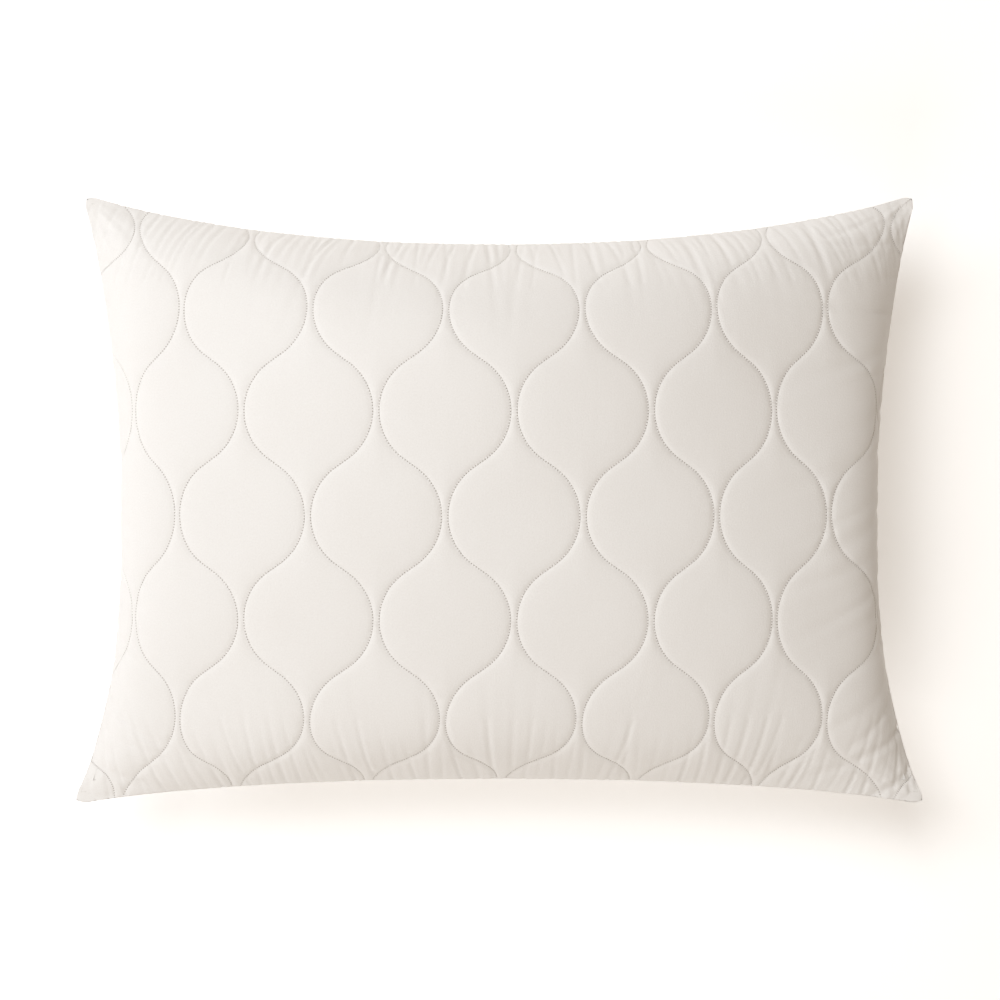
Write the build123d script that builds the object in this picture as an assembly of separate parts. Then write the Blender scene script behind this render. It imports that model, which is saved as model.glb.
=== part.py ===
from build123d import *
import os

# A quilted bed pillow, lying flat on its rear panel. X runs across its width, Y up its height and Z
# through its thickness. The origin is at the middle of the outline, on the surface it rests on.
# All sizes are in millimetres.

# Seam outline: four corners joined by edges that pull in between them
TOP_WIDTH = 656.0
BOTTOM_WIDTH = 673.0
HEIGHT = 476.0
TOP_DIP = 37.5
BOTTOM_DIP = 15.5
SIDE_DIP = 34.5
EDGE_CURVE = 2.2            # power of the dip: above 2 is straighter in the middle

# Stuffed shape: how far each panel swells from the seam plane
FRONT_CROWN = 91.0
REAR_CROWN = 88.0
REST_FLATTENING = 8.0       # how much of the rear crown the weight presses flat
FULLNESS = 0.6              # 0 is a plain arch, more is boxier

# Flat size of each panel inside its seam, as cut and quilted before stuffing
PANEL_WIDTH = 700.0
PANEL_HEIGHT = 500.0
PANEL_SPREAD = 1.165        # how much further a flat length reaches at the middle than at the seam

# Layers of a panel, from the outside in
COVER_THICKNESS = 0.6
WADDING_THICKNESS = 8.0
LINING_THICKNESS = 0.5
WADDING_IN_SEAM = 2.0       # the wadding where the seam squeezes it
FOLD_HEIGHT = 0.4           # upright edge of each inner layer, where it turns over at the seam
SEAM_ALLOWANCE = 14.0       # from the seam line to the raw edges inside
CORNER_TUCK = 2.4           # how much further in each layer starts at a corner, under the last

# Threads
QUILT_THREAD_WIDTH = 0.5
QUILT_THREAD_DEPTH = 0.35
QUILT_THREAD_CLEARANCE = 0.05   # beside and under a thread
SEAM_THREAD_WIDTH = 0.6
SEAM_THREAD_HEIGHT = 0.5
SEAM_THREAD_INSET = 4.0
OVERLOCK_THICKNESS = 0.4
CLOSING_LENGTH = 160.0      # the stuffing gap, sewn shut last, in the lower edge

# Quilting: wavy lines that lean together and apart, and leave onion-shaped cells
LINE_COUNT = 14
LINE_SPACING = 53.9
FIRST_LINE = -339.0         # mean place of the first line across the flat panel
WAVE_HEIGHT = 24.5
WAVE_HALF_PERIOD = 82.6
WAVE_BEND_RADIUS = 46.25
WAVE_STEEPEST = 1.402       # sideways per length, on the straight stretch between two bends
LINE_END = 0.985            # share of the panel's half size that a line reaches

SURFACE_COLUMNS = 25
SURFACE_ROWS = 21
SURFACE_DEGREE = 8
LINE_POINTS = 49
TUCK_POWER = 8              # how close to a corner the tuck keeps
SPARE = 20.0                # how far cutting tools reach past what they cut

SEAM_Z = REAR_CROWN - REST_FLATTENING
FRONT = 1
REAR = -1

# The surfaces between the layers, each as (how far inside the cover's surface, how far from the
# seam plane it begins, and how far it is tucked in at the corners)
LINING_START = COVER_THICKNESS + WADDING_THICKNESS
BOBBIN_START = LINING_START + LINING_THICKNESS
LINING_LIFT = COVER_THICKNESS + WADDING_IN_SEAM
FILLING_LIFT = LINING_LIFT + LINING_THICKNESS
PROUD_THREAD = (-QUILT_THREAD_CLEARANCE - QUILT_THREAD_DEPTH, 0, 0)
UNDER_THREAD = (-QUILT_THREAD_CLEARANCE, 0, 0)
COVER = (0, 0, 0)
WADDING = (COVER_THICKNESS, COVER_THICKNESS, CORNER_TUCK)
LINING = (LINING_START, LINING_LIFT, 2 * CORNER_TUCK)
BOBBIN = (BOBBIN_START, FILLING_LIFT, 3 * CORNER_TUCK)
FILLING = (BOBBIN_START + QUILT_THREAD_DEPTH, FILLING_LIFT, 3 * CORNER_TUCK)


def steps(count):
    """Evenly spaced values from -1 to 1."""
    return [2 * i / (count - 1) - 1 for i in range(count)]


def spread(w):
    """Place on the stuffed pillow, -1 to 1, of a place w on the flat panel, -1 to 1."""
    return PANEL_SPREAD * w + (1 - PANEL_SPREAD) * w**5


def swell(w):
    """Share of the crown at a place w on the flat panel."""
    return (1 - w**2) * (1 + FULLNESS * (w**2 + w**4))


def dip(s):
    return 1 - abs(s) ** EDGE_CURVE


def outline_point(s, t, inset):
    """Place in plan of (s, t), where the seam is at -1 and 1 less the inset."""
    corner_x = (TOP_WIDTH * (1 + t) + BOTTOM_WIDTH * (1 - t)) / 4
    half_width = corner_x - SIDE_DIP * dip(t) - inset
    top = HEIGHT / 2 - TOP_DIP * dip(s) - inset
    bottom = -HEIGHT / 2 + BOTTOM_DIP * dip(s) + inset
    return s * half_width, bottom + (top - bottom) * (1 + t) / 2


def surface_point(side, u, v, layer):
    """Point of a layer's surface at (u, v) of the flat panel, each -1 to 1."""
    inset, lift, tuck = layer
    x, y = outline_point(spread(u), spread(v), inset + tuck * (u * v) ** TUCK_POWER)
    rim = lift + (FOLD_HEIGHT if lift else 0)
    crown = (FRONT_CROWN if side == FRONT else REAR_CROWN) - inset - rim
    return Vector(x, y, SEAM_Z + side * (rim + crown * swell(u) * swell(v)))


def slab(z_low, z_high):
    across = max(TOP_WIDTH, BOTTOM_WIDTH) + 2 * SPARE
    up = HEIGHT + 2 * SPARE
    return Pos(0, 0, (z_low + z_high) / 2) * Box(across, up, z_high - z_low)


def region(side, layer):
    """Space inside a layer's surface: a lens on a flat base, with the rear one resting flat."""
    rows = [
        [surface_point(side, u, v, layer) for u in steps(SURFACE_COLUMNS)]
        for v in steps(SURFACE_ROWS)
    ]
    surface = Face.make_surface_from_array_of_points(rows, min_deg=3, max_deg=SURFACE_DEGREE)
    base = Face(Wire(surface.edges()))
    space = Solid(Shell([surface, base]))
    if layer[1]:
        space = space + Solid.extrude(base, Vector(0, 0, -side * FOLD_HEIGHT))
    if side == REAR:
        space = space & slab(layer[0], SEAM_Z)
    return space


def outline_block(inset, z_low, z_high):
    """Upright block with the seam's outline, this far inside it."""
    ends = steps(9)
    edges = [
        Spline([outline_point(s, -1, inset) for s in ends]),
        Spline([outline_point(1, t, inset) for t in ends]),
        Spline([outline_point(-s, 1, inset) for s in ends]),
        Spline([outline_point(-1, -t, inset) for t in ends]),
    ]
    outline = Face(Wire(edges))
    return Pos(0, 0, z_low) * extrude(outline, z_high - z_low, dir=(0, 0, 1))


def outline_ring(inset, width, half_height):
    """Band of the seam's outline, centred on the seam plane."""
    low, high = SEAM_Z - half_height, SEAM_Z + half_height
    return outline_block(inset, low, high) - outline_block(inset + width, low - SPARE, high + SPARE)


def wave(v):
    """Sideways place of a quilting line, -1 to 1: arcs joined by straight stretches."""
    along = abs((v + WAVE_HALF_PERIOD) % (2 * WAVE_HALF_PERIOD) - WAVE_HALF_PERIOD)
    sign = 1 if along <= WAVE_HALF_PERIOD / 2 else -1
    along = min(along, WAVE_HALF_PERIOD - along)
    lean = (1 + WAVE_STEEPEST**2) ** 0.5
    bend_end = WAVE_BEND_RADIUS * WAVE_STEEPEST / lean
    if along < bend_end:
        fall = WAVE_BEND_RADIUS - (WAVE_BEND_RADIUS**2 - along**2) ** 0.5
    else:
        fall = WAVE_BEND_RADIUS * (1 - 1 / lean) + (along - bend_end) * WAVE_STEEPEST
    return sign * max(0, 1 - fall / WAVE_HEIGHT)


def line_place(number, v):
    """Place across the flat panel of a quilting line at height v."""
    way = 1 if number % 2 else -1
    return FIRST_LINE + number * LINE_SPACING + way * WAVE_HEIGHT * wave(v)


def line_runs(number, half_width):
    """Pairs of edge points along a line on the flat panel, broken where the seam cuts it off."""
    runs = [[]]
    for share in steps(LINE_POINTS):
        v = share * LINE_END * PANEL_HEIGHT / 2
        u = line_place(number, v)
        slope = line_place(number, v + 0.5) - line_place(number, v - 0.5)
        length = (1 + slope**2) ** 0.5
        across, up = half_width / length, -half_width * slope / length
        if abs(u) < LINE_END * PANEL_WIDTH / 2:
            runs[-1].append([(u - across, v - up), (u + across, v + up)])
        elif runs[-1]:
            runs.append([])
    return [run for run in runs if len(run) > 2]


def strand(side, run, outer, inner, lowest):
    """Flat thread laid along a run between two surfaces, with its outer face no lower than this."""
    rings = []
    for left, right in run:
        corners = []
        for u, v in (left, right):
            for layer, floor in ((outer, lowest), (inner, lowest + QUILT_THREAD_DEPTH)):
                place = surface_point(side, 2 * u / PANEL_WIDTH, 2 * v / PANEL_HEIGHT, layer)
                corners.append(Vector(place.X, place.Y, max(place.Z, floor)))
        left_out, left_in, right_out, right_in = corners
        centre = (left_out + left_in + right_out + right_in) / 4
        across = (right_out + right_in - left_out - left_in) / 4
        deep = (left_in + right_in - left_out - right_out) / 4
        flat_corners = [across + deep, across - deep, -across - deep, deep - across]
        rings.append([centre + offset for offset in flat_corners])
    faces = [Face(Wire.make_polygon(ring, close=True)) for ring in (rings[0], rings[-1])]
    for ring, following in zip(rings, rings[1:]):
        for i in range(4):
            near = Edge.make_line(ring[i - 1], ring[i])
            far = Edge.make_line(following[i - 1], following[i])
            faces.append(Face.make_surface_from_curves(near, far))
    return Solid(Shell(faces))


def strands(side, number, outer, inner, lowest):
    runs = line_runs(number, QUILT_THREAD_WIDTH / 2)
    return [strand(side, run, outer, inner, lowest) for run in runs]


def rest_grooves(number):
    """Upright cutters that sink a rear line's thread into the face the pillow rests on."""
    grooves = []
    for run in line_runs(number, QUILT_THREAD_WIDTH / 2 + QUILT_THREAD_CLEARANCE):
        around = [left for left, _ in run] + [right for _, right in reversed(run)]
        points = []
        for u, v in around:
            place = surface_point(REAR, 2 * u / PANEL_WIDTH, 2 * v / PANEL_HEIGHT, COVER)
            points.append((place.X, place.Y))
        strip = Face(Wire.make_polygon(points, close=True))
        depth = QUILT_THREAD_DEPTH + QUILT_THREAD_CLEARANCE
        grooves.append(Pos(0, 0, depth) * extrude(strip, depth + SPARE, dir=(0, 0, -1)))
    return grooves


def save(name, solids):
    shape = solids[0] if len(solids) == 1 else Compound(children=solids)
    shape.label = name
    export_step(shape, f"parts/{name}.step")


def build_panel(name, side, allowance, seam_channel):
    """Cover, wadding and lining of one panel, with its quilting threads."""
    wadding_space = region(side, WADDING)
    lining_space = region(side, LINING)
    cover = region(side, COVER) - wadding_space - allowance - seam_channel
    if side == REAR:
        for number in range(LINE_COUNT):
            for groove in rest_grooves(number):
                cover = cover - groove
    save(f"{name}_cover", cover.solids())
    save(f"{name}_wadding", (wadding_space - lining_space - allowance).solids())
    save(f"{name}_lining", (lining_space - region(side, BOBBIN) - allowance).solids())
    bobbins = []
    for number in range(LINE_COUNT):
        thread = strands(side, number, PROUD_THREAD, UNDER_THREAD, 0)
        save(f"{name}_quilt_thread_{number + 1:02d}", thread)
        bobbins += strands(side, number, BOBBIN, FILLING, BOBBIN_START)
    save(f"{name}_bobbin_threads", bobbins)


def build_seam(seam_channel):
    """Lockstitch round the outline, left open at the stuffing gap, which its own thread closes."""
    gap = Pos(0, -HEIGHT / 2, SEAM_Z) * Box(CLOSING_LENGTH, HEIGHT / 2, 2 * SPARE)
    save("seam_thread", (seam_channel - gap).solids())
    save("closing_thread", (seam_channel & gap).solids())
    save("overlock_thread", outline_ring(SEAM_ALLOWANCE, OVERLOCK_THICKNESS, FILLING_LIFT).solids())


def build_filling():
    """Loose fibre that fills both panels and the space between their raw edges."""
    middle = outline_block(
        SEAM_ALLOWANCE + OVERLOCK_THICKNESS, SEAM_Z - FILLING_LIFT, SEAM_Z + FILLING_LIFT
    )
    filling = region(FRONT, FILLING) + middle + region(REAR, FILLING)
    save("fibre_filling", filling.solids())


os.makedirs("parts", exist_ok=True)
allowance = outline_block(SEAM_ALLOWANCE, SEAM_Z - FILLING_LIFT, SEAM_Z + FILLING_LIFT)
seam_channel = outline_ring(SEAM_THREAD_INSET, SEAM_THREAD_WIDTH, SEAM_THREAD_HEIGHT / 2)
build_panel("front", FRONT, allowance, seam_channel)
build_panel("rear", REAR, allowance, seam_channel)
build_seam(seam_channel)
build_filling()
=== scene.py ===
import math

import bpy
import numpy as np
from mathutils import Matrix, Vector
from mathutils.geometry import delaunay_2d_cdt
from mathutils.kdtree import KDTree


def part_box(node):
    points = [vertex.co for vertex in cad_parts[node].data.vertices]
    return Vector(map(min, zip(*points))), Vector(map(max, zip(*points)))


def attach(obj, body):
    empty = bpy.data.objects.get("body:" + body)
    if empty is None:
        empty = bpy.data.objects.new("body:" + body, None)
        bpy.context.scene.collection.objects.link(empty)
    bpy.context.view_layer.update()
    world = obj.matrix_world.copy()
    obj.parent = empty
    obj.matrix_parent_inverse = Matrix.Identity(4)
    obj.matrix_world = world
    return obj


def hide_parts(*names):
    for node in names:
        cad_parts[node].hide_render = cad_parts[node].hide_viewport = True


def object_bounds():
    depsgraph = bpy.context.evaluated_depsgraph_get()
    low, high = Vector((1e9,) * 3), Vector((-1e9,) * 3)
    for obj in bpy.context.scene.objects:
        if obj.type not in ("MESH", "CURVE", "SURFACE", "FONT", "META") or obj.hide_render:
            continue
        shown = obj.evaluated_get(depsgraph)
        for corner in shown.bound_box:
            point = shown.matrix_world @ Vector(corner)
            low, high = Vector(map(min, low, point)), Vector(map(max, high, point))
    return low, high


# A quilted bed pillow that lies flat on its rear panel: X across it, Y up its height, Z through it.
# Its two quilted panels are simulated as cloth that is blown up inside the seam's outline. The result is
# smoothed and scaled to the CAD part's depth, and every layer and line of stitches is laid on that shape.
# The quilting's relief, the creases and the lumps are formulas, not simulated. All sizes are in metres.

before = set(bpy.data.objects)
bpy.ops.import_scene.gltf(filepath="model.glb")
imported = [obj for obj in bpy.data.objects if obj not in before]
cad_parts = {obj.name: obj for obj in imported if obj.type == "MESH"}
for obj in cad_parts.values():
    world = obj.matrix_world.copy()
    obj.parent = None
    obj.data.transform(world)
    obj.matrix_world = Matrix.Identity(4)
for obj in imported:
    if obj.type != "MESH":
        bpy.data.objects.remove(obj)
cad_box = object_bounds()

MM = 0.001
FRONT = 1
REAR = -1

# Seam outline, as in the CAD part
TOP_WIDTH = 0.656
BOTTOM_WIDTH = 0.673
HEIGHT = 0.476
TOP_DIP = 0.0375
BOTTOM_DIP = 0.0155
SIDE_DIP = 0.0345
EDGE_CURVE = 2.2
# and where it departs from that part, towards the photograph
EDGE_OUTSET = 1.4 * MM          # the folded edge stands this far out past the seam
CORNER_REACH = 3.6 * MM         # and this much further at the corners, before they are rounded
CORNER_RADIUS = 17 * MM
BOTTOM_REACH = 2.5 * MM         # the bottom edge bows down this much more towards its corners
SIDE_SAG = 0.15                 # how far below the middle the sides draw in the most, as a share
SEAM_Z = sum(corner.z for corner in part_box("seam_thread")) / 2
FRONT_CROWN = cad_box[1].z - SEAM_Z
REAR_DEPTH = SEAM_Z - cad_box[0].z

# Flat panel inside its seam, as quilted before stuffing
HALF_U = 0.350
HALF_V = 0.250

# Quilting lines
LINE_COUNT = 14
LINE_SPACING = 53.9 * MM
FIRST_LINE = -339 * MM
WAVE_HEIGHT = 24.5 * MM
WAVE_HALF_PERIOD = 82.6 * MM
WAVE_BEND_RADIUS = 46.25 * MM
WAVE_STEEPEST = 1.402
STITCH = 2.3 * MM
LINE_MARGIN = 1.2 * MM          # from a line's end to the seam

# Relief of the quilting
CHANNEL_DEPTH = 0.8 * MM        # from a cell's face down to its stitches
CHANNEL_WIDTH = 2.6 * MM        # how quickly the cell rises beside a line
PUFF_HEIGHT = 0.8 * MM
PUFF_WIDTH = 14 * MM
SEAM_FADE = 5 * MM              # how quickly the panel thins at the seam
SEAM_FOLD = 1.1 * MM            # how far the fabric turns back in to the stitches at the seam
SEAM_FOLD_WIDTH = 1.8 * MM
SEAM_GAP = 0.12 * MM            # from the seam plane to each panel's folded edge

# Layers, as depths below the outer face in a cell and, where stitches squeeze them, at a line
COVER_THICKNESS = 0.6 * MM
WADDING_LOFT = 6.5 * MM         # down to the wadding's inner face
LAYER_GAP = 0.1 * MM
LINING_BOTTOM = WADDING_LOFT + 0.5 * MM
FILLING_TOP = WADDING_LOFT + 0.6 * MM
COVER_AT_LINE = 1.6 * MM
WADDING_AT_LINE = (1.8 * MM, 2.4 * MM)      # its outer and its inner face
LINING_AT_LINE = (2.5 * MM, 2.9 * MM)
FILLING_AT_LINE = 3.5 * MM
# How far each of those faces stays from the seam plane
WADDING_OFF_SEAM = (0.8 * MM, 2.2 * MM)
LINING_OFF_SEAM = (2.3 * MM, 2.7 * MM)
FILLING_OFF_SEAM = 2.8 * MM
BOBBIN_RADIUS = 0.14 * MM
THREAD_RADIUS = 0.19 * MM
INNER_MARGIN = 13 * MM          # the inner layers stop this far inside the seam
INNER_CORNER = 26 * MM          # and are cut round at the corners


def dip(s):
    return 1 - np.abs(s) ** EDGE_CURVE


def outline_point(s, t):
    """Place in plan of (s, t) inside the seam's outline, where the seam is at -1 and 1."""
    corner_x = (TOP_WIDTH * (1 + t) + BOTTOM_WIDTH * (1 - t)) / 4
    side_dip = SIDE_DIP * dip(t + SIDE_SAG * (1 - t**2))
    half_width = corner_x - side_dip + EDGE_OUTSET + CORNER_REACH * np.abs(t) ** 8
    out = EDGE_OUTSET + CORNER_REACH * np.abs(s) ** 8
    top = HEIGHT / 2 - TOP_DIP * dip(s) + out
    bottom = -HEIGHT / 2 + BOTTOM_DIP * dip(s) - out - BOTTOM_REACH * s**2
    return s * half_width, bottom + (top - bottom) * (1 + t) / 2


# ---------------------------------------------------------------- the blown-up panels

CLOTH_SPACING = 12 * MM
CLOTH_WIDTH = 0.688             # one of three sizes tried: it swells close to the CAD part's depth
CLOTH_HEIGHT = 0.491
CLOTH_FRAMES = 50
GATHERED_BY = 20                # frame at which the seam has reached its outline


def grid_quads(index, flip):
    quads = np.stack([index[:-1, :-1], index[:-1, 1:], index[1:, 1:], index[1:, :-1]], -1)
    quads = quads.reshape(-1, 4)
    return quads[:, ::-1] if flip else quads


def inflate():
    """Both panels as grids of places, from flat cloth that is gathered to the outline and blown up."""
    columns = round(CLOTH_WIDTH / CLOTH_SPACING)
    rows = round(CLOTH_HEIGHT / CLOTH_SPACING)
    s, t = np.meshgrid(np.linspace(-1, 1, columns + 1), np.linspace(-1, 1, rows + 1))
    random = np.random.default_rng(3)
    start = (2 + 12 * (1 - s**4) * (1 - t**4)) * MM
    seam = (np.abs(s) == 1) | (np.abs(t) == 1)
    flat = []
    for side in (FRONT, REAR):
        z = side * start + 0.8 * MM * random.standard_normal(s.shape)
        flat.append(np.stack([s * CLOTH_WIDTH / 2, t * CLOTH_HEIGHT / 2, np.where(seam, 0, z)], -1))
    x, y = outline_point(s, t)
    goal = np.stack([x, y, 0 * x], -1)
    front_index = np.arange(s.size).reshape(s.shape)
    rear_index = front_index.copy()
    rear_index[~seam] = s.size + np.arange((~seam).sum())
    places = np.vstack([flat[0].reshape(-1, 3), flat[1][~seam]])
    goals = np.vstack([goal.reshape(-1, 3), goal[~seam]])
    faces = np.vstack([grid_quads(front_index, False), grid_quads(rear_index, True)])

    mesh = bpy.data.meshes.new("blown_cloth")
    mesh.from_pydata(places.tolist(), [], faces.tolist())
    cloth = bpy.data.objects.new("blown_cloth", mesh)
    bpy.context.scene.collection.objects.link(cloth)
    cloth.shape_key_add(name="Basis")
    gathered = cloth.shape_key_add(name="gathered")
    gathered.data.foreach_set("co", goals.ravel())
    for value, at in ((0, 1), (1, GATHERED_BY)):
        gathered.value = value
        gathered.keyframe_insert("value", frame=at)
    held = cloth.vertex_groups.new(name="seam")
    held.add(front_index[seam].tolist(), 1.0, "REPLACE")

    modifier = cloth.modifiers.new("cloth", "CLOTH")
    settings = modifier.settings
    settings.quality = 5
    settings.mass = 0.3 * (CLOTH_SPACING / 0.0125) ** 2
    settings.air_damping = 1.0
    settings.tension_stiffness = settings.compression_stiffness = 100
    settings.shear_stiffness = 25
    settings.bending_stiffness = settings.bending_damping = 0.5
    settings.tension_damping = settings.compression_damping = settings.shear_damping = 5
    settings.use_pressure = True
    settings.uniform_pressure_force = 4
    settings.effector_weights.gravity = 0
    settings.vertex_group_mass = "seam"
    settings.pin_stiffness = 10
    modifier.collision_settings.use_collision = False
    modifier.point_cache.frame_end = CLOTH_FRAMES
    for at in range(1, CLOTH_FRAMES + 1):
        bpy.context.scene.frame_set(at)
    shaped = cloth.evaluated_get(bpy.context.evaluated_depsgraph_get())
    places = np.zeros(len(shaped.data.vertices) * 3, np.float32)
    shaped.data.vertices.foreach_get("co", places)
    places = places.reshape(-1, 3).astype(float)
    bpy.data.objects.remove(cloth)
    bpy.data.meshes.remove(mesh)
    bpy.context.scene.frame_set(1)
    return places[front_index], places[rear_index]


def refine(grid, axis, count):
    """Smooth curve through the points of a grid along one axis, with this many points on it."""
    grid = np.moveaxis(grid, axis, 0)
    first = 2 * grid[:1] - grid[1:2]
    last = 2 * grid[-1:] - grid[-2:-1]
    padded = np.concatenate([first, grid, last])
    place = np.linspace(0, len(grid) - 1, count)
    index = np.minimum(place.astype(int), len(grid) - 2)
    f = (place - index).reshape(-1, *[1] * (grid.ndim - 1))
    a, b, c, d = (padded[index + k] for k in range(4))
    bend = (2 * a - 5 * b + 4 * c - d) * f**2 + (3 * b - a - 3 * c + d) * f**3
    return np.moveaxis(b + ((c - a) * f + bend) / 2, 0, axis)


def soft_min(value, limit, width):
    """The smaller of value and limit, with a rounded knee this wide."""
    return limit - width * np.logaddexp(0, (limit - value) / width)


BASE_COLUMNS = 701
BASE_ROWS = 501
LUMP_HEIGHT = 0.35 * MM
SMOOTHING = 24
FLOOR_KNEE = 3 * MM


def lumps(side):
    """Low, broad unevenness of the fibre filling, over the base grid."""
    random = np.random.default_rng(20 + side)
    u, v = np.meshgrid(np.linspace(-HALF_U, HALF_U, BASE_COLUMNS), np.linspace(-HALF_V, HALF_V, BASE_ROWS))
    total = 0 * u
    for _ in range(9):
        length = random.uniform(90, 210) * MM
        angle = random.uniform(0, math.pi)
        phase = random.uniform(0, 2 * math.pi)
        total += np.sin(2 * math.pi * (u * math.cos(angle) + v * math.sin(angle)) / length + phase)
    rim = (1 - (u / HALF_U) ** 8) * (1 - (v / HALF_V) ** 8)
    return LUMP_HEIGHT * total / 3 * rim


def smoothed(grid, passes):
    """The grid with its small wrinkles averaged out; its rim stays where it is."""
    for _ in range(passes):
        around = (grid[:-2, 1:-1] + grid[2:, 1:-1] + grid[1:-1, :-2] + grid[1:-1, 2:]) / 4
        grid = grid.copy()
        grid[1:-1, 1:-1] = (grid[1:-1, 1:-1] + around) / 2
    return grid


def base_surface(grid, side):
    """Dense grid of places on a panel's smooth shape, and of its outward normals."""
    grid = smoothed(grid, SMOOTHING)
    base = refine(refine(grid, 0, BASE_ROWS), 1, BASE_COLUMNS)
    depth = np.abs(base[..., 2])
    depth = depth * FRONT_CROWN / depth.max() + lumps(side)
    if side == REAR:
        depth = soft_min(depth * 1.03, REAR_DEPTH, FLOOR_KNEE)
    base[..., 2] = SEAM_Z + side * np.maximum(depth, 0)
    s, t = np.meshgrid(np.linspace(-1, 1, BASE_COLUMNS), np.linspace(-1, 1, BASE_ROWS))
    far_s = np.clip(1 - (1 - np.abs(s)) * TOP_WIDTH / 2 / CORNER_RADIUS, 0, 1)
    far_t = np.clip(1 - (1 - np.abs(t)) * HEIGHT / 2 / CORNER_RADIUS, 0, 1)
    base[..., 0] -= np.sign(s) * CORNER_RADIUS * far_s * (1 - np.sqrt(1 - far_t**2 / 2))
    base[..., 1] -= np.sign(t) * CORNER_RADIUS * far_t * (1 - np.sqrt(1 - far_s**2 / 2))
    normal = side * np.cross(np.gradient(base, axis=1), np.gradient(base, axis=0))
    length = np.linalg.norm(normal, axis=-1, keepdims=True)
    return base, normal / np.maximum(length, 1e-12)


def sample(grid, flat):
    """A dense grid's values at flat places, between its points."""
    x = np.clip((flat[:, 0] + HALF_U) / (2 * HALF_U), 0, 1) * (BASE_COLUMNS - 1)
    y = np.clip((flat[:, 1] + HALF_V) / (2 * HALF_V), 0, 1) * (BASE_ROWS - 1)
    i = np.minimum(x.astype(int), BASE_COLUMNS - 2)
    j = np.minimum(y.astype(int), BASE_ROWS - 2)
    f, g = (x - i)[:, None], (y - j)[:, None]
    low = grid[j, i] * (1 - f) + grid[j, i + 1] * f
    high = grid[j + 1, i] * (1 - f) + grid[j + 1, i + 1] * f
    return low * (1 - g) + high * g


# ---------------------------------------------------------------- the quilting pattern

def wave(v):
    """Sideways place of a quilting line, -1 to 1: arcs joined by straight stretches."""
    along = np.abs((v + WAVE_HALF_PERIOD) % (2 * WAVE_HALF_PERIOD) - WAVE_HALF_PERIOD)
    sign = np.where(along <= WAVE_HALF_PERIOD / 2, 1, -1)
    along = np.minimum(along, WAVE_HALF_PERIOD - along)
    lean = math.hypot(1, WAVE_STEEPEST)
    bend_end = WAVE_BEND_RADIUS * WAVE_STEEPEST / lean
    in_bend = np.minimum(along, bend_end)
    fall = WAVE_BEND_RADIUS - np.sqrt(WAVE_BEND_RADIUS**2 - in_bend**2)
    fall += (along - in_bend) * WAVE_STEEPEST
    return sign * np.maximum(0, 1 - fall / WAVE_HEIGHT)


PATTERN_DROP = 11 * MM          # the pattern as sewn sits this much low
TOP_CORNER_DROP = 18 * MM       # and this much more towards the top corners
BOTTOM_DRIFT = 10 * MM          # the fabric is drawn to the left along the bottom seam
RIGHT_DRAW = (19 * MM, 80 * MM, 3)      # and inwards at each side: how much, from where, how late
LEFT_DRAW = (12 * MM, 230 * MM, 2)


def drawn_in(u):
    """How far the fabric is drawn inwards near the sides; nothing at the seam itself."""
    total = 0 * u
    for sign, (most, start, power) in ((1, RIGHT_DRAW), (-1, LEFT_DRAW)):
        far = np.clip((sign * u - start) / (HALF_U - start), 0, 1)
        total -= sign * most * np.sin(math.pi * far**power)
    return total


def quilting_runs(number, step):
    """Stretches of a quilting line on the flat panel, as places evenly spaced along it."""
    way = 1 if number % 2 else -1
    middle = FIRST_LINE + number * LINE_SPACING
    v = np.linspace(LINE_MARGIN - HALF_V, HALF_V - LINE_MARGIN, 2400)
    drop = PATTERN_DROP + TOP_CORNER_DROP * (middle / HALF_U) ** 2 * np.maximum(v / HALF_V, 0) ** 4
    u = middle + way * WAVE_HEIGHT * wave(v + drop)
    u = u + drawn_in(u) - BOTTOM_DRIFT * np.maximum(-v / HALF_V, 0) ** 4
    inside = np.abs(u) < HALF_U - LINE_MARGIN
    breaks = np.flatnonzero(np.diff(inside.astype(int))) + 1
    runs = []
    for part in np.split(np.arange(len(v)), breaks):
        if not inside[part[0]] or len(part) < 60:
            continue
        length = np.concatenate([[0], np.cumsum(np.hypot(np.diff(u[part]), np.diff(v[part])))])
        places = np.arange(0, length[-1], step)
        run = [np.interp(places, length, values[part]) for values in (u, v)]
        runs.append(np.stack(run, -1))
    return runs


def sideways(run):
    """Unit vectors across a run."""
    along = np.gradient(run, axis=0)
    across = np.stack([along[:, 1], -along[:, 0]], -1)
    return across / np.linalg.norm(across, axis=1, keepdims=True)


PATTERN_STEP = STITCH / 8
pattern_runs = [run for n in range(LINE_COUNT) for run in quilting_runs(n, PATTERN_STEP)]
pattern = np.concatenate(pattern_runs)
pattern_along = np.concatenate([np.arange(len(run)) * PATTERN_STEP for run in pattern_runs])
pattern_tree = KDTree(len(pattern))
for index, (u, v) in enumerate(pattern):
    pattern_tree.insert((u, v, 0), index)
pattern_tree.balance()


def from_lines(flat):
    """Distance of flat places from the nearest quilting line, and where along the lines that is."""
    found = [pattern_tree.find((u, v, 0)) for u, v in flat]
    distance = np.array([f[2] for f in found])
    nearest = np.array([f[1] for f in found])
    return distance, pattern_along[nearest]


def from_seam(flat):
    return np.minimum(HALF_U - np.abs(flat[:, 0]), HALF_V - np.abs(flat[:, 1]))


# ---------------------------------------------------------------- gathers and creases

def valley(x):
    """A crease across its own width, with a low shoulder each side."""
    return -(1 - 1.3 * x**2) * np.exp(-(x**2))


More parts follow.
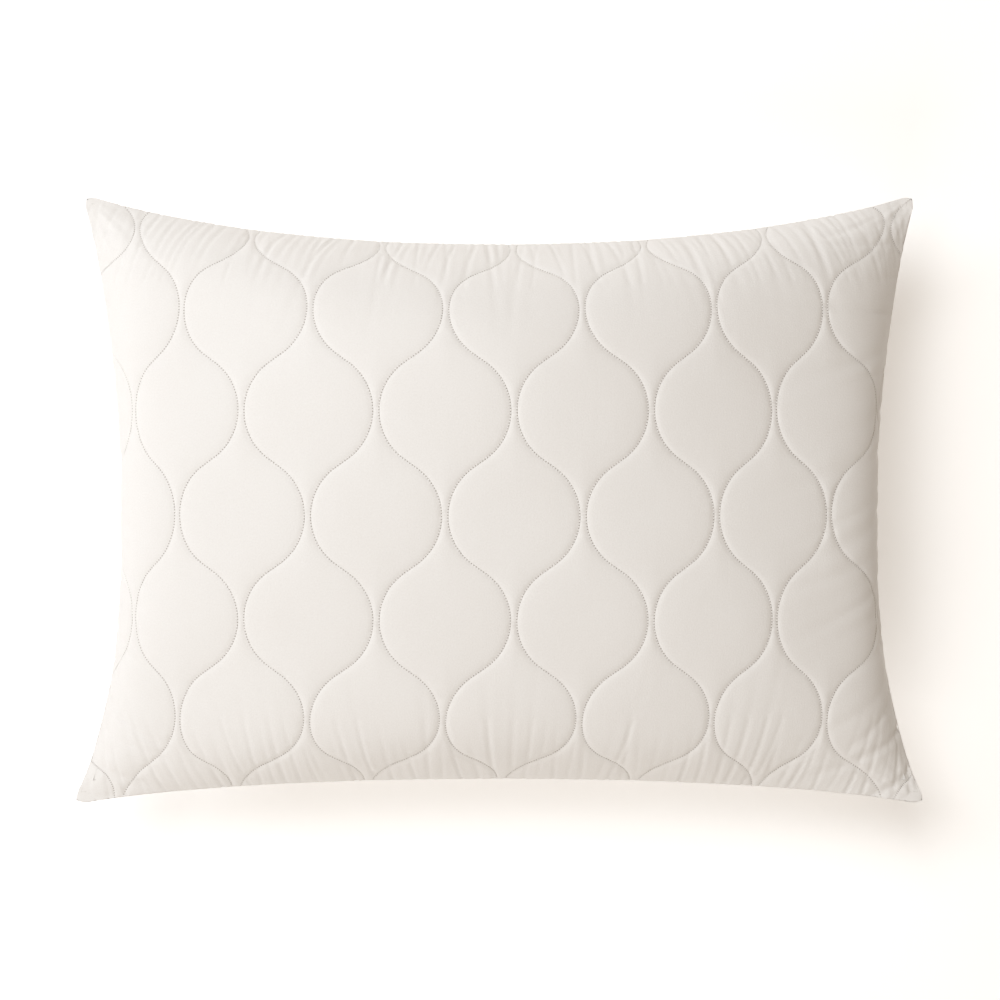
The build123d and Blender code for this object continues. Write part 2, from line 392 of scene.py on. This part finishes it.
def edge_gathers(random, along, inward, spacing, length, width, height, lean):
    """Creases that run inward from one edge; each pair is the least and the most of a size.

    A lean is the slant in the middle of the edge, what is added to it at its end, and its spread.
    """
    middle_lean, end_lean, spread = lean
    total = 0 * along
    place = along.min() + spacing / 2
    while place < along.max():
        reach = random.uniform(*length)
        wide = random.uniform(*width)
        high = random.uniform(*height)
        slant = middle_lean + end_lean * place / along.max() + random.uniform(-spread, spread)
        bow = random.uniform(-spread, spread) * 3
        begin = random.uniform(-0.15, 0.25) * reach
        near = np.flatnonzero((inward < reach) & (np.abs(along - place) < 0.08))
        b = inward[near]
        x = (along[near] - place - slant * b - bow * b**2) / (wide * (0.7 + 0.6 * b / reach))
        fade = (1 - b / reach) ** 1.1 * np.clip((b - begin) / (0.3 * reach) + 1, 0, 1)
        total[near] += high * valley(x) * fade
        place += spacing * random.uniform(0.65, 1.4)
    return total


def corner_gathers(random, du, dv):
    """Creases that fan out from one corner."""
    total = 0 * du
    far = np.hypot(du, dv)
    angle = np.arctan2(dv, du)
    for turn in (0.2, 0.42, 0.62, 0.84, 1.06, 1.32):
        reach = random.uniform(60, 125) * MM
        wide = random.uniform(4.5, 8) * MM
        high = random.uniform(0.4, 1.1) * MM
        turn += random.uniform(-0.06, 0.06)
        x = np.sin(angle - turn) * far / (wide * (0.5 + far / reach))
        fade = np.clip(1 - far / reach, 0, 1) ** 1.3 * np.clip(far / (8 * MM), 0, 1)
        total += high * valley(x) * fade
    return total


# The deeper folds at the front's top seam: place along it, reach, width and height
TOP_FOLDS = (
    (118 * MM, 110 * MM, 3.6 * MM, 0.8 * MM),
    (151 * MM, 150 * MM, 4.4 * MM, 1.0 * MM),
    (176 * MM, 120 * MM, 3.6 * MM, 0.8 * MM),
    (252 * MM, 160 * MM, 5.2 * MM, 1.1 * MM),
)
TOP_FOLD_SLANT = 0.18


def creases(flat, side):
    """Height of the fabric's gathers and creases at flat places."""
    random = np.random.default_rng(7 if side == FRONT else 8)
    u, v = flat[:, 0], flat[:, 1]
    fine = {"length": (60 * MM, 150 * MM), "width": (2.0 * MM, 3.6 * MM)}
    broad = {"length": (80 * MM, 190 * MM), "width": (5 * MM, 9 * MM), "height": (0.5 * MM, 1.6 * MM)}
    lean = (0, 0.45, 0.12)
    total = edge_gathers(random, u, HALF_V - v, 8 * MM, height=(0.35 * MM, 1.2 * MM), lean=lean, **fine)
    total += edge_gathers(random, u, HALF_V + v, 11 * MM, height=(0.35 * MM, 1.2 * MM), lean=lean, **fine)
    total += edge_gathers(random, v, HALF_U - u, 24 * MM, lean=(-0.25, 0.35, 0.25), **broad)
    total += edge_gathers(random, v, HALF_U + u, 28 * MM, lean=(-0.25, 0.35, 0.25), **broad)
    for du in (HALF_U - u, HALF_U + u):
        for dv in (HALF_V - v, HALF_V + v):
            total += corner_gathers(random, du, dv)
    if side == FRONT:
        for at, reach, wide, high in TOP_FOLDS:
            inward = HALF_V - v
            x = (u - at - TOP_FOLD_SLANT * inward) / (wide * (0.7 + 0.6 * inward / reach))
            total += high * valley(x) * np.clip(1 - inward / reach, 0, 1) ** 1.3
    return total


# Faint puckers beside the lines: spacing and height
PUCKERS = ((7.3 * MM, 0.03 * MM), (11.9 * MM, 0.04 * MM), (19.7 * MM, 0.05 * MM))
PUCKER_WIDTH = 7 * MM
CREASE_ROOM = 2.4 * MM          # the layers under the outer face stay this much clear of its creases
CREASE_FADE = 90 * MM


def relief(flat, side, creased=True):
    """Height of a panel's outer face over its smooth shape at flat places, and the wadding's loft."""
    distance, _ = from_lines(flat)
    rise = 1 - np.exp(-((distance / CHANNEL_WIDTH) ** 2))
    puff = 1 - np.exp(-((distance / PUFF_WIDTH) ** 2))
    height = CHANNEL_DEPTH * (rise - 1) + PUFF_HEIGHT * (puff - 1)
    inside = 1 - np.exp(-np.maximum(from_seam(flat), 0) / SEAM_FADE)
    height = height * inside
    if not creased:
        return height - CREASE_ROOM * np.exp(-np.maximum(from_seam(flat), 0) / CREASE_FADE), rise * inside
    height += creases(flat, side) * (0.25 + 0.75 * rise)
    slanting = flat[:, 1] + 0.4 * flat[:, 0]
    for length, high in PUCKERS:
        height += high * np.sin(2 * math.pi * slanting / length) * np.exp(-distance / PUCKER_WIDTH) * inside
    return height, rise * inside


def place(side, flat, height):
    """Places at flat ones, this far outside the panel's smooth shape."""
    places = sample(base[side], flat) + sample(normals[side], flat) * height[:, None]
    for axis, half in enumerate((HALF_U, HALF_V)):
        near = np.clip(1 - (half - np.abs(flat[:, axis])) / SEAM_FOLD_WIDTH, 0, 1)
        places[:, axis] -= np.sign(flat[:, axis]) * SEAM_FOLD * near**2
    return places


def off_seam(places, side, gap):
    """Keeps places on their panel's side of the seam plane, at least this far from it."""
    places[:, 2] = SEAM_Z + side * np.maximum(side * (places[:, 2] - SEAM_Z), gap)
    return places


def on_floor(places, depth):
    """Presses places flat where the pillow rests, this far above what it rests on."""
    knee = 0.35 * MM
    places[:, 2] = depth + knee * np.logaddexp(0, (places[:, 2] - depth) / knee)
    return places


# ---------------------------------------------------------------- meshes on the flat panel

def spaced(candidates, taken, apart):
    """The candidates that are at least this far from what is taken already."""
    tree = KDTree(len(taken))
    for i, (u, v) in enumerate(taken):
        tree.insert((u, v, 0), i)
    tree.balance()
    keep = [tree.find((u, v, 0))[2] >= apart for u, v in candidates]
    return candidates[np.array(keep, bool)]


def rounded_rectangle(half_u, half_v, radius, step):
    """Points round a rectangle, in order; the corners are sharp if the radius is 0."""
    points = []
    sides = [(1, -1, 0, 1), (1, 1, -1, 0), (-1, 1, 0, -1), (-1, -1, 1, 0)]
    for sign_u, sign_v, du, dv in sides:
        length = 2 * (half_v if du == 0 else half_u) - 2 * radius
        start = np.array([sign_u * half_u, sign_v * half_v]) + radius * np.array([du, dv])
        count = max(round(length / step), 1)
        points += [start + np.array([du, dv]) * length * k / count for k in range(count)]
        if radius:
            end = start + np.array([du, dv]) * length
            centre = end + radius * np.array([-dv, du])
            turns = max(round(radius * math.pi / 2 / step), 1)
            for k in range(turns):
                a = k / turns * math.pi / 2
                out = np.array([dv, -du]) * math.cos(a) + np.array([du, dv]) * math.sin(a)
                points.append(centre + radius * out)
    return np.array(points)


def hexagons(spacing):
    rows = []
    for row, v in enumerate(np.arange(-HALF_V, HALF_V, spacing * 0.866)):
        u = np.arange(-HALF_U + (row % 2) * spacing / 2, HALF_U, spacing)
        rows.append(np.stack([u, np.full_like(u, v)], -1))
    return np.concatenate(rows)


def inside_shape(flat, half_u, half_v, radius, margin):
    if not radius:
        return from_box(flat, half_u, half_v) > margin
    du = np.maximum(np.abs(flat[:, 0]) - (half_u - radius), 0)
    dv = np.maximum(np.abs(flat[:, 1]) - (half_v - radius), 0)
    return np.hypot(du, dv) < radius - margin


def from_box(flat, half_u, half_v):
    return np.minimum(half_u - np.abs(flat[:, 0]), half_v - np.abs(flat[:, 1]))


def triangulate(rim, rows, fields, half_u, half_v, radius):
    """Flat mesh: the rim's points first, then rows beside the quilting lines, then even fields.

    A row is (distance from its line, spacing), and a field is (spacing, where it applies).
    """
    taken = rim
    for distance, spacing in rows:
        found = []
        for number in range(LINE_COUNT):
            for run in quilting_runs(number, spacing):
                across = sideways(run)
                for offset in {distance, -distance}:
                    found.append(run + across * offset)
        found = np.concatenate(found)
        found = found[inside_shape(found, half_u, half_v, radius, 0.5 * MM)]
        if distance:
            clear, _ = from_lines(found)
            found = found[clear > distance - 0.15 * MM]
        found = spaced(found, taken, 0.4 * min(spacing, 2 * distance or spacing))
        taken = np.concatenate([taken, found])
    for spacing, applies in fields:
        found = hexagons(spacing)
        found = found[inside_shape(found, half_u, half_v, radius, 0.45 * spacing) & applies(found)]
        found = spaced(found, taken, 0.62 * spacing)
        taken = np.concatenate([taken, found])
    points = [Vector((u, v)) for u, v in taken]
    made, _, faces, *_ = delaunay_2d_cdt(points, [], [], 0, 1e-7)
    if len(made) != len(taken):
        raise ValueError("two points of a flat mesh coincide")
    faces = np.array(faces)
    a, b, c = (taken[faces[:, k]] for k in range(3))
    area = (b[:, 0] - a[:, 0]) * (c[:, 1] - a[:, 1]) - (b[:, 1] - a[:, 1]) * (c[:, 0] - a[:, 0])
    faces[area < 0] = faces[area < 0][:, ::-1]
    return taken, faces[np.abs(area) > 1e-13]


def mesh_object(name, places, faces, flat=None):
    """Smooth-shaded object from numpy arrays, with each point's flat place for its material."""
    mesh = bpy.data.meshes.new(name)
    size = faces.shape[1]
    mesh.vertices.add(len(places))
    mesh.vertices.foreach_set("co", places.astype(np.float32).ravel())
    mesh.loops.add(faces.size)
    mesh.loops.foreach_set("vertex_index", faces.astype(np.int32).ravel())
    mesh.polygons.add(len(faces))
    mesh.polygons.foreach_set("loop_start", np.arange(0, faces.size, size, dtype=np.int32))
    mesh.update(calc_edges=True)
    mesh.validate()
    mesh.shade_smooth()
    if flat is not None:
        attribute = mesh.attributes.new("flat_place", "FLOAT_VECTOR", "POINT")
        values = np.zeros((len(places), 3), np.float32)
        values[:, : flat.shape[1]] = flat
        attribute.data.foreach_set("vector", values.ravel())
    obj = bpy.data.objects.new(name, mesh)
    bpy.context.scene.collection.objects.link(obj)
    return obj


def ring_faces(outer, inner):
    """Triangles of the band between two rings of points, given by their numbers in order."""
    outer_next, inner_next = np.roll(outer, -1), np.roll(inner, -1)
    return np.concatenate([
        np.stack([outer, inner, outer_next], -1),
        np.stack([outer_next, inner, inner_next], -1),
    ])


def closed_shell(name, side, outer, outer_faces, inner, inner_faces, rim_count, flat):
    """One closed piece from an outer and an inner sheet whose rims come first and match."""
    rim = np.arange(rim_count)
    band = ring_faces(rim, rim + len(outer))
    faces = np.concatenate([outer_faces, (inner_faces + len(outer))[:, ::-1], band])
    if side == REAR:
        faces = faces[:, ::-1]
    return mesh_object(name, np.concatenate([outer, inner]), faces, flat)


# ---------------------------------------------------------------- materials

def material(name, colour, roughness, sheen=0.0, specular=0.3):
    made = bpy.data.materials.new(name)
    made.use_nodes = True
    shader = made.node_tree.nodes["Principled BSDF"]
    shader.inputs["Base Color"].default_value = (*colour, 1)
    shader.inputs["Roughness"].default_value = roughness
    shader.inputs["Specular IOR Level"].default_value = specular
    shader.inputs["Sheen Weight"].default_value = sheen
    shader.inputs["Sheen Roughness"].default_value = 0.45
    return made, made.node_tree, shader


def node(tree, kind, **values):
    """New node with these inputs set; a value may be another node's output."""
    made = tree.nodes.new(kind)
    for key, value in values.items():
        if hasattr(made, key) and key not in made.inputs:
            setattr(made, key, value)
            continue
        socket = made.inputs[key]
        if isinstance(value, bpy.types.NodeSocket):
            tree.links.new(value, socket)
        else:
            socket.default_value = value
    return made


def math_node(tree, operation, a, b=0.0):
    made = tree.nodes.new("ShaderNodeMath")
    made.operation = operation
    for socket, value in zip(made.inputs, (a, b)):
        if isinstance(value, bpy.types.NodeSocket):
            tree.links.new(value, socket)
        else:
            socket.default_value = value
    return made.outputs[0]


def ramp(tree, factor, low, high, colour_low, colour_high):
    made = tree.nodes.new("ShaderNodeValToRGB")
    tree.links.new(factor, made.inputs[0])
    for element, at, colour in zip(made.color_ramp.elements, (low, high), (colour_low, colour_high)):
        element.position = at
        element.color = (*colour, 1)
    return made.outputs[0]


def weave_height(tree, place, pitch):
    """Plain weave over the flat cloth: two crossing sets of rounded threads."""
    split = node(tree, "ShaderNodeSeparateXYZ", Vector=place)
    waves = []
    for axis in ("X", "Y"):
        turns = math_node(tree, "MULTIPLY", split.outputs[axis], math.pi / pitch)
        waves.append(math_node(tree, "ABSOLUTE", math_node(tree, "SINE", turns)))
    return math_node(tree, "MULTIPLY", waves[0], waves[1])


def bumped(tree, shader, layers):
    """Stacks bumps, each as (height socket, height in metres, strength)."""
    normal = None
    for height, distance, strength in layers:
        bump = node(tree, "ShaderNodeBump", Height=height, Distance=distance, Strength=strength)
        if normal is not None:
            tree.links.new(normal, bump.inputs["Normal"])
        normal = bump.outputs["Normal"]
    tree.links.new(normal, shader.inputs["Normal"])


def hole_shade_mask(tree):
    """1 in a needle's hole and 0 round it, from how far along and beside its line a place is: the mask of
    the painted shade in the holes.
    """
    where = node(tree, "ShaderNodeAttribute", attribute_name="stitch_place").outputs["Vector"]
    split = node(tree, "ShaderNodeSeparateXYZ", Vector=where)
    shifted = math_node(tree, "ADD", split.outputs["X"], STITCH / 2)
    along = math_node(tree, "SUBTRACT", math_node(tree, "MODULO", shifted, STITCH), STITCH / 2)
    along_squared = math_node(tree, "POWER", along, 2.0)
    beside_squared = math_node(tree, "POWER", split.outputs["Y"], 2.0)
    far = math_node(tree, "SQRT", math_node(tree, "ADD", along_squared, beside_squared))
    fade = node(tree, "ShaderNodeMapRange", Value=far)
    fade.inputs["From Min"].default_value = 0.32 * MM
    fade.inputs["From Max"].default_value = 0.68 * MM
    fade.inputs["To Min"].default_value = 1.0
    fade.inputs["To Max"].default_value = 0.0
    return fade.outputs["Result"]


def microfibre():
    """Brushed creamy-white microfibre: fine weave, soft nap, faint unevenness of tone, and painted shade in
    its needle holes.
    """
    made, tree, shader = material("cover_microfibre", CREAM, 0.82, sheen=0.22, specular=0.18)
    shader.inputs["Sheen Tint"].default_value = (1.0, 0.985, 0.96, 1)
    flat = node(tree, "ShaderNodeAttribute", attribute_name="flat_place").outputs["Vector"]
    tone = node(tree, "ShaderNodeTexNoise", Vector=flat, Scale=14.0, Detail=5.0, Roughness=0.6)
    colour = ramp(tree, tone.outputs["Fac"], 0.3, 0.7, CREAM_SHADE, CREAM)
    nap = node(tree, "ShaderNodeTexNoise", Vector=flat, Scale=750.0, Detail=3.0, Roughness=0.6)
    grain = ramp(tree, nap.outputs["Fac"], 0.3, 0.7, (0.955, 0.952, 0.948), (1, 1, 1))
    grained = node(tree, "ShaderNodeMixRGB", blend_type="MULTIPLY", Fac=1.0, Color1=colour, Color2=grain)
    # Painted shade: the colour in each needle hole is mixed towards a dark brown, standing in for the shade
    # inside the puncture.
    hole = hole_shade_mask(tree)
    painted_hole_shade = math_node(tree, "MULTIPLY", hole, HOLE_SHADE)
    pierced = node(tree, "ShaderNodeMixRGB", Fac=painted_hole_shade, Color1=grained.outputs[0])
    pierced.inputs["Color2"].default_value = (*HOLE_SHADE_COLOUR, 1)
    tree.links.new(pierced.outputs[0], shader.inputs["Base Color"])
    rough = node(tree, "ShaderNodeMapRange", Value=nap.outputs["Fac"])
    rough.inputs["To Min"].default_value = 0.74
    rough.inputs["To Max"].default_value = 0.9
    tree.links.new(rough.outputs["Result"], shader.inputs["Roughness"])
    stretch = node(tree, "ShaderNodeMapping", Vector=flat)
    stretch.inputs["Scale"].default_value = (1.0, 0.45, 1.0)
    crinkle = node(tree, "ShaderNodeTexNoise", Scale=160.0, Detail=4.0, Roughness=0.55)
    tree.links.new(stretch.outputs["Vector"], crinkle.inputs["Vector"])
    weave = weave_height(tree, flat, WEAVE_PITCH)
    bumped(tree, shader, [
        (crinkle.outputs["Fac"], 0.25 * MM, 0.35),
        (nap.outputs["Fac"], 0.3 * MM, 0.5),
        (weave, 0.05 * MM, 0.35),
    ])
    return made


def spun_thread(name, colour):
    """Twisted polyester thread: a slanting ply, a slight gloss and uneven tone."""
    made, tree, shader = material(name, colour, 0.5, sheen=0.15, specular=0.45)
    where = node(tree, "ShaderNodeTexCoord").outputs["Object"]
    ply = node(tree, "ShaderNodeTexWave", Vector=where, Scale=420.0, Distortion=1.5)
    ply.bands_direction = "DIAGONAL"
    tone = node(tree, "ShaderNodeTexNoise", Vector=where, Scale=260.0, Detail=2.0)
    shade = tuple(0.86 * channel for channel in colour)
    tree.links.new(ramp(tree, tone.outputs["Fac"], 0.3, 0.7, shade, colour), shader.inputs["Base Color"])
    bumped(tree, shader, [(ply.outputs["Fac"], 0.06 * MM, 0.6)])
    return made


def fibre(name, colour, scale, strength):
    """Loose, matted polyester fibre."""
    made, tree, shader = material(name, colour, 0.95, sheen=0.5, specular=0.1)
    where = node(tree, "ShaderNodeTexCoord").outputs["Object"]
    mat = node(tree, "ShaderNodeTexNoise", Vector=where, Scale=scale, Detail=8.0, Roughness=0.75)
    mat.inputs["Distortion"].default_value = 1.2
    clumps = node(tree, "ShaderNodeTexVoronoi", Vector=where, Scale=scale / 4)
    shade = tuple(0.84 * channel for channel in colour)
    tree.links.new(ramp(tree, mat.outputs["Fac"], 0.35, 0.65, shade, colour), shader.inputs["Base Color"])
    bumped(tree, shader, [
        (clumps.outputs["Distance"], 2 * MM, strength),
        (mat.outputs["Fac"], 0.8 * MM, strength),
    ])
    return made


def spunbond():
    """Thin bonded lining: a grid of small pressed points."""
    made, tree, shader = material("lining_spunbond", (0.80, 0.80, 0.79), 0.7, sheen=0.1, specular=0.25)
    flat = node(tree, "ShaderNodeAttribute", attribute_name="flat_place").outputs["Vector"]
    points = weave_height(tree, flat, 1.6 * MM)
    tone = node(tree, "ShaderNodeTexNoise", Vector=flat, Scale=220.0, Detail=4.0)
    colour = ramp(tree, tone.outputs["Fac"], 0.3, 0.7, (0.72, 0.72, 0.71), (0.82, 0.82, 0.81))
    tree.links.new(colour, shader.inputs["Base Color"])
    bumped(tree, shader, [(points, 0.15 * MM, 0.6), (tone.outputs["Fac"], 0.2 * MM, 0.4)])
    return made


CREAM = (0.885, 0.872, 0.858)
CREAM_SHADE = (0.874, 0.857, 0.840)
# Painted shade in the needle holes: its colour, and how much of it is mixed in.
HOLE_SHADE_COLOUR = (0.22, 0.18, 0.14)
HOLE_SHADE = 0.75
WEAVE_PITCH = 0.45 * MM
cover_material = microfibre()
quilting_material = spun_thread("quilting_thread_polyester", (0.93, 0.91, 0.88))
bobbin_material = spun_thread("bobbin_thread_polyester", (0.82, 0.81, 0.79))
seam_material = spun_thread("seam_thread_polyester", (0.84, 0.82, 0.79))
overlock_material = spun_thread("overlock_thread_polyester", (0.80, 0.79, 0.77))
wadding_material = fibre("wadding_polyester", (0.88, 0.88, 0.87), 140.0, 0.5)
filling_material = fibre("fibre_filling_polyester", (0.90, 0.90, 0.89), 60.0, 0.8)
lining_material = spunbond()

# ---------------------------------------------------------------- the pieces

grids = inflate()
base, normals = {}, {}
for side, grid in zip((FRONT, REAR), grids):
    base[side], normals[side] = base_surface(grid, side)

RIM_STEP = 2.4 * MM
FINE_BAND = 75 * MM


def everywhere(flat):
    return from_seam(flat) > -1


def near_top_or_bottom(flat):
    return HALF_V - np.abs(flat[:, 1]) < FINE_BAND


rim = rounded_rectangle(HALF_U, HALF_V, 0, RIM_STEP)
fold_rows = [
    rounded_rectangle(HALF_U - inset, HALF_V - inset, 0, RIM_STEP)
    for inset in (0.5 * MM, 1.2 * MM, 2.4 * MM)
]
fine_flat, fine_faces = triangulate(
    np.concatenate([rim, *fold_rows]),
    [(0, STITCH / 2), (0.7 * MM, STITCH / 2), (1.5 * MM, STITCH), (2.8 * MM, STITCH), (4.6 * MM, 3.4 * MM)],
    [(2.2 * MM, near_top_or_bottom), (4.2 * MM, everywhere)],
    HALF_U, HALF_V, 0,
)
COARSE_ROWS = [(0, 3 * MM), (2.2 * MM, 3.6 * MM), (5.5 * MM, 5 * MM)]
COARSE_FIELDS = [(7 * MM, everywhere)]
under_flat, under_faces = triangulate(rim, COARSE_ROWS, COARSE_FIELDS, HALF_U, HALF_V, 0)
inner_half = (HALF_U - INNER_MARGIN, HALF_V - INNER_MARGIN)
inner_rim = rounded_rectangle(*inner_half, INNER_CORNER, 5 * MM)
inner_flat, inner_faces = triangulate(inner_rim, COARSE_ROWS, COARSE_FIELDS, *inner_half, INNER_CORNER)

HOLE_DEPTH = 0.6 * MM
HOLE_WIDTH = 0.42 * MM
holes = np.concatenate([run for n in range(LINE_COUNT) for run in quilting_runs(n, STITCH)])
hole_tree = KDTree(len(holes))
for index, (u, v) in enumerate(holes):
    hole_tree.insert((u, v, 0), index)
hole_tree.balance()


def needle_holes(flat):
    """How deep, 0 to 1, each flat place lies in a needle's hole."""
    far = np.array([hole_tree.find((u, v, 0))[2] for u, v in flat])
    return np.exp(-((far / HOLE_WIDTH) ** 2))


def layer(side, shape, at_line, in_cell, gap):
    """A sheet of places this far under the outer face at the stitches and in the cells."""
    flat, height, loft = shape
    depth = at_line + (in_cell - at_line) * loft
    places = off_seam(place(side, flat, height - depth), side, gap)
    return on_floor(places, depth) if side == REAR else places


def tube(flat, side, height, radius, sides):
    """Vertices and faces of a thread along flat places, this far over the panel's smooth shape."""
    line = place(side, flat, height)
    out = sample(normals[side], flat)
    along = np.gradient(line, axis=0)
    across = np.cross(out, along)
    across /= np.linalg.norm(across, axis=1, keepdims=True)
    up = np.cross(along, across)
    up /= np.linalg.norm(up, axis=1, keepdims=True)
    turn = np.arange(sides) * 2 * math.pi / sides
    rings = line[:, None] + radius * (
        across[:, None] * np.cos(turn)[:, None] + up[:, None] * np.sin(turn)[:, None]
    )
    index = np.arange(len(line) * sides).reshape(len(line), sides)
    following = np.roll(index, -1, axis=1)
    faces = [
        np.stack([index[:-1], following[:-1], following[1:]], -1).reshape(-1, 3),
        np.stack([index[:-1], following[1:], index[1:]], -1).reshape(-1, 3),
    ]
    for ring, flip in ((index[0], True), (index[-1], False)):
        cap = np.array([[ring[0], ring[k], ring[k + 1]] for k in range(1, sides - 1)])
        faces.append(cap[:, ::-1] if flip else cap)
    return rings.reshape(-1, 3), np.concatenate(faces)


def joined(parts):
    """Several lots of vertices and faces as one."""
    start, places, faces = 0, [], []
    for part_places, part_faces in parts:
        places.append(part_places)
        faces.append(part_faces + start)
        start += len(part_places)
    return np.concatenate(places), np.concatenate(faces)


THREAD_OVER_HOLE = (-1.0 * MM, -0.02 * MM, 0.18 * MM, -0.02 * MM)   # over each quarter of a stitch


def quilting_thread(side, number):
    """The needle thread of one quilting line: it rises from each hole and dives into the next."""
    parts = []
    for run in quilting_runs(number, STITCH / 4):
        height, _ = relief(run, side)
        height += np.array([THREAD_OVER_HOLE[k % 4] for k in range(len(run))])
        parts.append(tube(run, side, height, THREAD_RADIUS, 5))
    places, faces = joined(parts)
    if side == REAR:
        places[:, 2] = np.maximum(places[:, 2], 0.05 * MM)
    return mesh_object(f"{NAMES[side]}_quilting_{number + 1:02d}", places, faces)


def bobbin_threads(side):
    """The under threads of all quilting lines, on the lining's inner face."""
    parts = []
    for number in range(LINE_COUNT):
        for run in quilting_runs(number, STITCH / 2):
            run = run[inside_shape(run, *inner_half, INNER_CORNER, 1 * MM)]
            if len(run) < 8:
                continue
            height, _ = relief(run, side, creased=False)
            under = LINING_AT_LINE[1] + BOBBIN_RADIUS + 0.05 * MM + 0.06 * MM * (np.arange(len(run)) % 2)
            parts.append(tube(run, side, height - under, BOBBIN_RADIUS, 4))
    places, faces = joined(parts)
    return mesh_object(f"{NAMES[side]}_bobbins", places, faces)


def finished(piece, made, slot, *nodes, fill=None):
    """Gives a piece its material, hangs it on the root body and hides the CAD nodes that it stands for; its
    slot is not used.
    """
    piece.data.materials.append(made)
    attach(piece, "root")
    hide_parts(*nodes)


NAMES = {FRONT: "front", REAR: "rear"}
for side, name in NAMES.items():
    height, _ = relief(fine_flat, side)
    pierced = needle_holes(fine_flat)
    outer = place(side, fine_flat, height - HOLE_DEPTH * pierced)
    outer = off_seam(outer, side, SEAM_GAP)
    if side == REAR:
        outer = on_floor(outer, 0)
    under_shape = (under_flat, *relief(under_flat, side, creased=False))
    under = layer(side, under_shape, COVER_AT_LINE, COVER_THICKNESS, 2 * SEAM_GAP)
    flat = np.concatenate([fine_flat, under_flat])
    cover = closed_shell(
        f"{name}_cover_quilted", side, outer, fine_faces, under, under_faces, len(rim), flat
    )
    distance, along = from_lines(flat)
    attribute = cover.data.attributes.new("stitch_place", "FLOAT_VECTOR", "POINT")
    stitch_place = np.stack([along, distance, 0 * along], -1)
    attribute.data.foreach_set("vector", stitch_place.astype(np.float32).ravel())
    finished(cover, cover_material, "cover_fabric", f"{name}_cover", fill=0.85)

    shape = (inner_flat, *relief(inner_flat, side, creased=False))
    double_flat = np.concatenate([inner_flat, inner_flat])
    wadding_top = COVER_THICKNESS + LAYER_GAP
    wadding = closed_shell(
        f"{name}_wadding_layer", side,
        layer(side, shape, WADDING_AT_LINE[0], wadding_top, WADDING_OFF_SEAM[0]), inner_faces,
        layer(side, shape, WADDING_AT_LINE[1], WADDING_LOFT, WADDING_OFF_SEAM[1]), inner_faces,
        len(inner_rim), double_flat,
    )
    finished(wadding, wadding_material, "wadding", f"{name}_wadding", fill=0.6)
    lining = closed_shell(
        f"{name}_lining_layer", side,
        layer(side, shape, LINING_AT_LINE[0], WADDING_LOFT + LAYER_GAP, LINING_OFF_SEAM[0]), inner_faces,
        layer(side, shape, LINING_AT_LINE[1], LINING_BOTTOM, LINING_OFF_SEAM[1]), inner_faces,
        len(inner_rim), double_flat,
    )
    finished(lining, lining_material, "lining", f"{name}_lining")
    for number in range(LINE_COUNT):
        thread = quilting_thread(side, number)
        finished(thread, quilting_material, "quilting_thread", f"{name}_quilt_thread_{number + 1:02d}")
    finished(bobbin_threads(side), bobbin_material, "bobbin_thread", f"{name}_bobbin_threads")

halves = [
    layer(
        side, (inner_flat, *relief(inner_flat, side, creased=False)),
        FILLING_AT_LINE, FILLING_TOP, FILLING_OFF_SEAM,
    )
    for side in (FRONT, REAR)
]
filling = closed_shell(
    "filling_of_fibre", FRONT, halves[0], inner_faces, halves[1], inner_faces,
    len(inner_rim), np.concatenate([inner_flat, inner_flat]),
)
finished(filling, filling_material, "fibre", "fibre_filling", fill=0.85)

for name, made in (
    ("seam_thread", seam_material),
    ("closing_thread", seam_material),
    ("overlock_thread", overlock_material),
):
    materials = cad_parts[name].data.materials
    materials.clear()
    materials.append(made)

# ---------------------------------------------------------------- floor, light and camera

FLOOR_SIZE = 40.0
FLOOR_GLOW = 0.31
FLOOR_TINT = (1.0, 0.965, 0.93)
AMBIENT = (0.26, 0.205, 0.145)
LIGHTS = (
    # name, power, place, size and colour
    ("overhead", 61.0, (-0.95, 1.3, 2.75), 2.0, (0.97, 1, 1.03)),
    ("key", 16.0, (-2.5, 0.7, 1.5), 0.9, (0.92, 1, 1.09)),
    ("fill", 22.0, (-0.7, -2.2, 1.5), 1.2, (1, 1, 1)),
)
CAMERA_HEIGHT = 2.206           # over the seam plane
CAMERA_CENTRE = (0.0005, -0.0018)

bpy.ops.mesh.primitive_plane_add(size=FLOOR_SIZE, location=(0, 0, 0))
floor = bpy.context.object
floor.name = "floor"
floor_material, _, shader = material("floor_white", (0.9, 0.9, 0.9), 0.9)
shader.inputs["Emission Color"].default_value = (*FLOOR_TINT, 1)
shader.inputs["Emission Strength"].default_value = FLOOR_GLOW
floor.data.materials.append(floor_material)

for name, power, at, size, colour in LIGHTS:
    light = bpy.data.lights.new(name, "AREA")
    light.energy = power
    light.size = size
    light.color = colour
    lamp = bpy.data.objects.new(name, light)
    lamp.location = at
    lamp.rotation_euler = (-Vector(at)).to_track_quat("-Z", "Y").to_euler()
    lamp.visible_camera = False
    bpy.context.scene.collection.objects.link(lamp)

world = bpy.data.worlds.new("studio")
world.use_nodes = True
world.node_tree.nodes["Background"].inputs["Color"].default_value = (*AMBIENT, 1)
bpy.context.scene.world = world
bpy.context.scene.view_settings.view_transform = "Standard"

camera_data = bpy.data.cameras.new("camera")
camera_data.lens = 100
camera_data.sensor_width = 36
camera = bpy.data.objects.new("camera", camera_data)
camera.location = (*CAMERA_CENTRE, SEAM_Z + CAMERA_HEIGHT)
bpy.context.scene.collection.objects.link(camera)
bpy.context.scene.camera = camera
